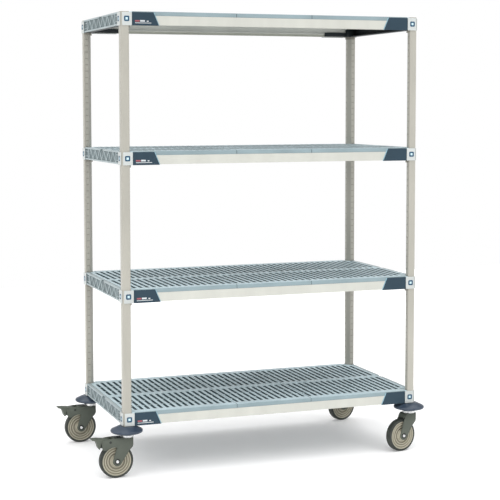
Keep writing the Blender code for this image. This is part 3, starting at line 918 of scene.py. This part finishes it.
def end_frame(side):
    """All of one end frame's pieces for the lowest shelf: name, piece, slot."""
    corners = [(side, -1), (side, 1)]
    faces = [(s, e, facing) for s, e in corners for facing in ("Y", "X")]
    parts = [("rail", end_rail(side), "end_frame"), ("rail_ribs", rail_ribs(side), "end_frame")]

    def add(name, pieces, slot):
        parts.append((name, joined(name, pieces), slot))

    add("brackets", [bracket(*c) for c in corners], "corner_bracket")
    add("bracket_edges", [bracket_edge(*c) for c in corners], "corner_bracket")
    add("corner_caps", [corner_cap(*c) for c in corners], "mat")
    add("plates", [corner_plate(*f) for f in faces], "corner_plate")
    add("lock_rings", [lock_ring(*f) for f in faces], "lock_blue")
    add("lock_centres", [lock_centre(*f) for f in faces], "corner_plate")
    add("wedges", [wedge(*c) for c in corners], "post")
    if side < 0:
        labels = [blank_label(end) for end in (-1, 1)]
        add("label_films", [pale for pale, _ in labels], "corner_plate")
        add("label_bands", [red for _, red in labels], "corner_plate")
    return parts


def build_shelves():
    """The lowest shelf is modelled, then copied up to the others."""
    mats = build_mats()
    beams = {"front": beam(-1), "rear": beam(1)}
    ends = {"left": end_frame(-1), "right": end_frame(1)}
    for number, lift in zip(SHELVES, LIFTS):
        up = Matrix.Translation((0, 0, lift))
        body = f"shelf_{number}"
        for place, piece in mats.items():
            name = f"deck_mat_{number}_{place}"
            place_copy(piece, name, up, body, "mat", f"{body}_mat_{place}")
        for place, piece in beams.items():
            name = f"long_beam_{number}_{place}"
            place_copy(piece, name, up, body, "beam", f"{body}_beam_{place}")
        for place, parts in ends.items():
            for part_name, piece, slot in parts:
                node = f"{body}_end_frame_{place}" if part_name == "rail" else None
                place_copy(piece, f"end_{part_name}_{number}_{place}", up, body, slot, node)
    discard(list(mats.values()) + list(beams.values()))
    discard([piece for parts in ends.values() for _, piece, _ in parts])


# ---- posts
MARK_HALF = (0.0055, 0.0014)       # half the width and height of an inch mark
MARK_DEPTH = 0.001
FIRST_MARK = 0.027                # above the post's foot
GROOVE_HALF = 0.0004
GROOVE_DEPTH = 0.0005
GROOVE_APART = 0.007              # from the middle of the face


def post(side, end, low, high):
    """A post: large round outside, flat cut inside, a capped top, inch marks on its inner faces."""
    piece = block("post", low, high)
    middle = (low + high) / 2

    def upright(edge, x_sign, y_sign):
        a, b = edge.verts[0].co, edge.verts[1].co
        near_x = side * x_sign * (a.x - middle.x) > 0.012
        return near_x and end * y_sign * (a.y - middle.y) > 0.012 and abs(a.z - b.z) > 0.1

    def side_corner(edge):
        at_side = upright(edge, 1, -1) or upright(edge, -1, 1)
        return at_side and edge.calc_face_angle(0) > 1.0

    edit(piece)
    pick(piece, lambda e: upright(e, 1, 1), "edges")
    bevel(POST_ROUND, 8)
    pick(piece, lambda e: upright(e, -1, -1), "edges")
    bevel(POST_CUT, 1)
    pick(piece, side_corner, "edges")
    bevel(POST_SIDE_ROUND, 3)
    pick(piece, lambda f: f.normal.z > 0.9)
    inset(0.002)
    shift(z=-0.0006)
    inset(0.0012)
    shift(z=0.0006)
    done()
    marks = []
    steps = int((high.z - low.z - 0.03) / INCH)
    inner_x, inner_y = middle.x - side * POST_HALF, middle.y - end * POST_HALF
    along = (POST_CUT - POST_SIDE_ROUND) / 2     # inner faces' middle, from the post's middle
    at_x, at_y = middle.x + side * along, middle.y + end * along

    def sink(offset, half, depth, foot, head):
        """One cutter in each of the two inner faces."""
        marks.append(block("mark", (inner_x - side * 0.001, at_y + offset - half, foot),
                           (inner_x + side * depth, at_y + offset + half, head)))
        marks.append(block("mark", (at_x + offset - half, inner_y - end * 0.001, foot),
                           (at_x + offset + half, inner_y + end * depth, head)))

    for i in range(steps):
        z = low.z + FIRST_MARK + i * INCH
        sink(0.0, MARK_HALF[0], MARK_DEPTH, z - MARK_HALF[1], z + MARK_HALF[1])
    for offset in (-GROOVE_APART, GROOVE_APART):
        sink(offset, GROOVE_HALF, GROOVE_DEPTH, low.z - 0.01, high.z - 0.004)
    boolean(piece, [joined("marks", marks)], "DIFFERENCE")
    painted(shaded(piece), POST_TAUPE)

    def in_mark(spot, normal):
        deep_x = abs(spot.x - inner_x - side * MARK_DEPTH) < 0.0003
        deep_y = abs(spot.y - inner_y - end * MARK_DEPTH) < 0.0003
        return spot.z < high.z - 0.01 and (deep_x or deep_y)

    # Painted shade: the floors of the inch marks are painted darker.
    return painted_inside(piece, POST_MARK_PAINTED_SHADE, in_mark)


def build_posts():
    for corner in CORNERS:
        side = 1 if corner.endswith("right") else -1
        end = 1 if corner.startswith("rear") else -1
        piece = post(side, end, *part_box(f"post_{corner}"))
        assign(piece, f"corner_post_{corner}", "frame", "post", f"post_{corner}")


# ---- casters
WHEEL_RADIUS = 0.0635
RACEWAY_RADIUS = 0.026
TRAIL = 0.042
CROWN_TOP = 0.15
CROWN_UNDERSIDE = 0.1325
FORK_HALF = 0.0225
FORK_SLOT_HALF = 0.019
AXLE = (-TRAIL, WHEEL_RADIUS)
PIVOT = (-0.068, 0.138)
AXLE_HOLE = 0.0066
PIVOT_HOLE = 0.0034
HEAD_REACH = FORK_HALF + 0.0012    # pin heads start this far out
PEDAL_REACH = 0.137
PEDAL_HALF = 0.018


def bumper():
    """Soft donut with a shallow cone above, a rounded nose and a moulded seam below."""
    profile = [(0.0128, 0.1896), (0.0325, 0.1896), (0.0345, 0.189)]
    profile += arc((0.0543, 0.1726), 0.0061, 62, -70, 10)
    profile += [(0.05, 0.1655), (0.044, 0.164), (0.04, 0.163), (0.03, 0.159)]
    profile += [(0.0128, 0.1583)]
    return painted(turned("bumper", profile, 72), BUMPER_VIOLET)


def stem():
    """Kingpin, raceway with its rolled rim, and the plated stem up into the post."""
    rim = RACEWAY_RADIUS
    profile = [
        (0.0, 0.246), (0.0088, 0.246), (0.0105, 0.244), (0.0105, 0.1905), (0.0125, 0.1885),
        (0.0125, 0.158), (rim - 0.0016, 0.158), (rim - 0.0002, 0.1572), (rim, 0.1556),
        (rim - 0.0004, 0.154), (rim - 0.0022, 0.1532), (rim - 0.0022, 0.1522),
        (rim - 0.0006, 0.1515), (rim - 0.0006, CROWN_TOP + GAP), (0.006, CROWN_TOP + GAP),
        (0.006, CROWN_UNDERSIDE - GAP), (0.0106, CROWN_UNDERSIDE - GAP),
        (0.011, CROWN_UNDERSIDE - 0.001), (0.0095, 0.1295), (0.0, 0.129),
    ]
    return painted(turned("stem", profile, 48, closed=False), STEEL)


def fork_outline(brake):
    """Side outline: crown, raked legs with round ends; with a brake, cheeks over the wheel."""
    loop = [(0.019, CROWN_TOP)]
    if brake:
        loop += [(-0.05, CROWN_TOP), (-0.062, 0.1496), (-0.085, 0.1474), (-0.098, 0.1446)]
        loop += [(-0.1, 0.138), (-0.0998, 0.122), (-0.0975, 0.111), (-0.0945, 0.1093)]
        loop += arc((-0.052, 0.058), 0.061, 127, 100, 6)
        loop += [(-0.05, 0.1176), (-0.044, 0.115)]
    else:
        loop += [(-0.024, CROWN_TOP), (-0.027, 0.148), (-0.033, 0.14), (-0.0345, 0.135)]
        loop += [(-0.042, 0.12)]
    loop += arc(AXLE, 0.017, 168, 328, 14)
    loop += [(0.003, 0.102), (0.012, 0.1105), (0.017, 0.1165), (0.019, 0.123)]
    return loop


def fork(brake):
    """Moulded fork with rounded edges; a braked one leaves room for its pedal."""
    holes = [ring(AXLE, AXLE_HOLE, 24)]
    if brake:
        holes.append(ring(PIVOT, PIVOT_HOLE, 16))
    body = cut_out("fork", [fork_outline(brake)] + holes, -FORK_HALF, FORK_HALF)
    half = FORK_SLOT_HALF
    cutters = [block("wheel_room", (-0.2, -half, 0.0), (0.1, half, CROWN_UNDERSIDE))]
    if brake:
        cutters.append(block("pedal_room", (-0.2, -half, 0.12), (-0.056, half, 0.2)))
    hole = [(0.0, 0.16), (AXLE_HOLE, 0.16), (AXLE_HOLE, 0.12), (0.0, 0.12)]
    cutters.append(turned("kingpin_hole", hole, 32, closed=False))
    boolean(body, cutters, "DIFFERENCE")
    return painted(rounded(body, 0.0012, 3, 35.0), FORK_GREEN)


def fork_panels(brake):
    """Raised stiffening skins that follow each cheek's outline."""
    skins = []
    centre = Vector((-0.03, 0.118)) if brake else Vector((-0.018, 0.112))
    shrunk = []
    for point in fork_outline(brake):
        inward = centre - Vector(point)
        step = inward.normalized() * min(0.0045, inward.length)
        shrunk.append(tuple(Vector(point) + step))
    for side in (-1, 1):
        low, high = sorted((side * (FORK_HALF - 0.001), side * (FORK_HALF + 0.0009)))
        skins.append(cut_out("skin", [shrunk, ring(AXLE, 0.011, 28)], low, high))
    return painted(rounded(joined("fork_skins", skins), 0.0006, 2, 35.0), FORK_GREEN)


def wheel_disc():
    """Wheel centre with deep moulded rings, a lower web and a round hub."""
    half = [
        (0.0545, 0.0), (0.0545, 0.0132), (0.0538, 0.0138), (0.0508, 0.0138), (0.05, 0.013),
        (0.0494, 0.0102), (0.0462, 0.0098), (0.0454, 0.0124), (0.0446, 0.013), (0.0418, 0.013),
        (0.041, 0.0122), (0.0404, 0.0094), (0.0368, 0.009), (0.036, 0.0116), (0.0352, 0.0122),
        (0.0324, 0.0122), (0.0316, 0.0114), (0.031, 0.0088), (0.0262, 0.0084), (0.0254, 0.0106),
        (0.0246, 0.0112), (0.0215, 0.0112), (0.02, 0.0104), (0.019, 0.012), (0.0178, 0.0165),
        (0.0168, 0.0178), (0.0155, 0.0183), (0.0084, 0.0183), (0.0066, 0.0172),
    ]
    piece = painted(turned("wheel_disc", mirrored(half[1:]) + half, 72), DISC_SAND)

    def groove(middle, normal):
        radius, depth = hypot(middle.x, middle.y), abs(middle.z)
        return 0.018 < radius < 0.05 and depth < 0.0105

    # Painted shade: the disc's groove faces are painted darker.
    return painted_inside(piece, DISC_GROOVE_PAINTED_SHADE, groove)


def tread():
    """Round-shouldered tread with a fine bead at the disc."""
    half = [(0.0548, 0.0), (0.0548, 0.0132), (0.0556, 0.0144), (0.0568, 0.0148), (0.058, 0.0146)]
    half += [(0.059, 0.0148)]
    half += arc((0.0582, 0.0092), 0.0053, 75, 0, 7)
    half += [(WHEEL_RADIUS, 0.005)]
    return painted(turned("tread", half + mirrored(half[1:]), 96), TREAD_DARK)


def cross_pin(name, radius, head, head_height, material):
    """A pin with a domed head outside each leg."""
    dome = [(head * cos(radians(a)), HEAD_REACH + head_height * sin(radians(a)))
            for a in range(90, -1, -15)]
    profile = dome + [(head, HEAD_REACH), (radius, HEAD_REACH), (radius, 0.0)]
    profile += mirrored(profile[:-1])
    return painted(turned(name, profile, 40, closed=False), material)


def axle_seats():
    """Dark round seats under the axle's heads, one outside each leg."""
    high = FORK_HALF + 0.0011
    half = [(0.0057, high - 0.003), (0.01, high - 0.003), (0.0104, high - 0.0004), (0.0099, high),
            (0.0084, high), (0.008, high - 0.0008), (0.0057, high - 0.0008)]
    near = turned("axle_seat", half, 40)
    far = turned("axle_seat", [(r, -z) for r, z in half], 40)
    return painted(joined("axle_seats", [near, far]), SEAT_DARK)


def pedal():
    """Foot pedal: ribbed tip, hood between the cheeks, lip behind the wheel and the shoe."""
    outline = [(-PEDAL_REACH, 0.1486), (-PEDAL_REACH + 0.0004, 0.151), (-0.133, 0.1514)]
    outline += [(-0.104, 0.15), (-0.086, 0.1478), (-0.07, 0.145), (-0.064, 0.1425)]
    outline += arc(PIVOT, 0.0062, 40, -60, 6)
    outline += [(-0.076, 0.13), (-0.082, 0.121), (-0.088, 0.118), (-0.092, 0.13)]
    outline += [(-0.1, 0.1325), (-0.104, 0.13), (-0.105, 0.118), (-0.1063, 0.114)]
    outline += [(-0.1085, 0.1132), (-0.1108, 0.1145), (-0.114, 0.124), (-0.1175, 0.135)]
    outline += [(-0.123, 0.144), (-0.13, 0.1472)]
    body = cut_out("pedal", [outline, ring(PIVOT, PIVOT_HOLE, 16)], -PEDAL_HALF, PEDAL_HALF)
    half = PEDAL_HALF - 0.003
    grips = []
    for i in range(4):
        x = -0.131 + i * 0.0055
        grips.append(block("grip", (x - 0.0011, -half, 0.148), (x + 0.0011, half, 0.1515)))
    boolean(body, grips, "UNION")
    return painted(rounded(body, 0.0009, 2, 35.0), FORK_GREEN)


def caster_places():
    """Foot of each caster's stem, and the turn that carries the plain caster to its yaw."""
    places = {}
    for corner in CORNERS:
        low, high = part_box(f"bumper_{corner}")
        foot = Vector(((low.x + high.x) / 2, (low.y + high.y) / 2, 0.0))
        joint = next(j for j in frame["joints"] if j["name"] == f"wheel_{corner}_spin")
        axis = Vector(joint["axis"])
        yaw = atan2(-axis.x, axis.y)
        places[corner] = Matrix.Translation(foot) @ Matrix.Rotation(yaw, 4, "Z")
    return places


def build_casters():
    """One caster of each kind is modelled at the origin, then copied to the corners."""
    across = Matrix.Rotation(radians(90), 4, "X")
    at_axle = Matrix.Translation((AXLE[0], 0.0, AXLE[1])) @ across
    at_pivot = Matrix.Translation((PIVOT[0], 0.0, PIVOT[1])) @ across
    disc, tyre = wheel_disc(), tread()
    axle = cross_pin("axle", 0.0055, 0.006, 0.0026, STEEL)
    seats = axle_seats()
    brake_pin = cross_pin("brake_pin", 0.003, 0.0048, 0.0019, SEAT_DARK)
    masters = {
        "stem": (stem(), Matrix(), "frame", "caster_stem", "steel"),
        "bumper_ring": (bumper(), Matrix(), "frame", "bumper", "bumper"),
        "wheel_disc": (disc, at_axle, "wheel_{}_body", "wheel", "wheel"),
        "tread": (tyre, at_axle, "wheel_{}_body", "tyre", "tyre"),
        "axle_bolt": (axle, at_axle, "swivel_{}", "axle", "steel"),
    }
    forks = {True: (fork(True), fork_panels(True)), False: (fork(False), fork_panels(False))}
    foot_pedal = pedal()
    for corner, place in caster_places().items():
        for name, (piece, turn, body, node, slot) in masters.items():
            place_copy(piece, f"{name}_{corner}", place @ turn, body.format(corner), slot,
                       f"{node}_{corner}")
        swivel = f"swivel_{corner}"
        horn, skins = forks[corner in BRAKED]
        place_copy(horn, f"horn_{corner}", place, swivel, "fork", f"fork_{corner}")
        place_copy(seats, f"axle_seats_{corner}", place @ at_axle, swivel, "fork")
        place_copy(skins, f"horn_skins_{corner}", place, swivel, "fork")
        if corner in BRAKED:
            place_copy(foot_pedal, f"foot_pedal_{corner}", place, f"pedal_{corner}", "fork",
                       f"brake_pedal_{corner}")
            place_copy(brake_pin, f"pedal_pin_{corner}", place @ at_pivot, swivel, "steel",
                       f"brake_pin_{corner}")
    discard([entry[0] for entry in masters.values()] + [foot_pedal, brake_pin, seats])
    discard([piece for pair in forks.values() for piece in pair])


# ---- stage
FLOOR_SIZE = 10.0
FLOOR_GLOW = 0.17
SKY_FADE = {"From_Min": 0.13, "From_Max": 0.32, "To_Min": 1.0, "To_Max": 0.48}
LAMP_STRENGTH, LAMP_SPREAD = 3.2, 100
LAMP_DIRECTION = Vector((0.1, 0.26, -1.0))
LENS, SENSOR = 96.632, 36.0
LENS_SHIFT = (0.0602, -0.0993)
CAMERA_PLACE = (MIDDLE_X - 1.8857, -5.0244, LOCK + 1.153)
CAMERA_TURN = (85.9905, 0.1356, -19.4202)


def build_stage():
    """Pale floor, a wide soft light overhead, white surroundings that dim upwards, the camera."""
    bpy.ops.mesh.primitive_plane_add(size=FLOOR_SIZE, location=(0, 0, 0))
    floor = bpy.context.object
    floor.name = "floor"
    recipe = Recipe("floor_paper")
    paper = recipe.noise(2.0, 3.0)
    recipe.colour(recipe.ramp(paper, [(0.3, (0.89, 0.89, 0.895)), (0.7, (0.91, 0.91, 0.912))]))
    recipe.set(Roughness=0.85, Emission_Color=(1.0, 1.0, 1.0, 1.0), Emission_Strength=FLOOR_GLOW)
    painted(floor, recipe.material)

    world = bpy.data.worlds.new("surroundings")
    bpy.context.scene.world = world
    world.use_nodes = True
    nodes, links = world.node_tree.nodes, world.node_tree.links
    height = nodes.new("ShaderNodeSeparateXYZ")
    links.new(nodes.new("ShaderNodeTexCoord").outputs["Generated"], height.inputs["Vector"])
    fade = nodes.new("ShaderNodeMapRange")
    fade.interpolation_type = "SMOOTHSTEP"
    fill(fade, **SKY_FADE)
    links.new(height.outputs["Z"], fade.inputs["Value"])
    background = nodes["Background"]
    fill(background, Color=(1.0, 1.0, 1.0, 1.0))
    links.new(fade.outputs["Result"], background.inputs["Strength"])

    lamp_data = bpy.data.lights.new("overhead", "SUN")
    lamp_data.energy = LAMP_STRENGTH
    lamp_data.angle = radians(LAMP_SPREAD)
    lamp = added("overhead", lamp_data)
    lamp.location = (0.0, 0.0, 4.0)
    lamp.rotation_euler = LAMP_DIRECTION.to_track_quat("-Z", "Y").to_euler()

    camera_data = bpy.data.cameras.new("camera")
    camera_data.lens = LENS
    camera_data.sensor_width = SENSOR
    camera_data.shift_x, camera_data.shift_y = LENS_SHIFT
    camera = added("camera", camera_data)
    camera.location = CAMERA_PLACE
    camera.rotation_euler = [radians(angle) for angle in CAMERA_TURN]
    bpy.context.scene.camera = camera
    bpy.context.scene.view_settings.view_transform = "Standard"


build_stage()
build_shelves()
build_posts()
build_casters()
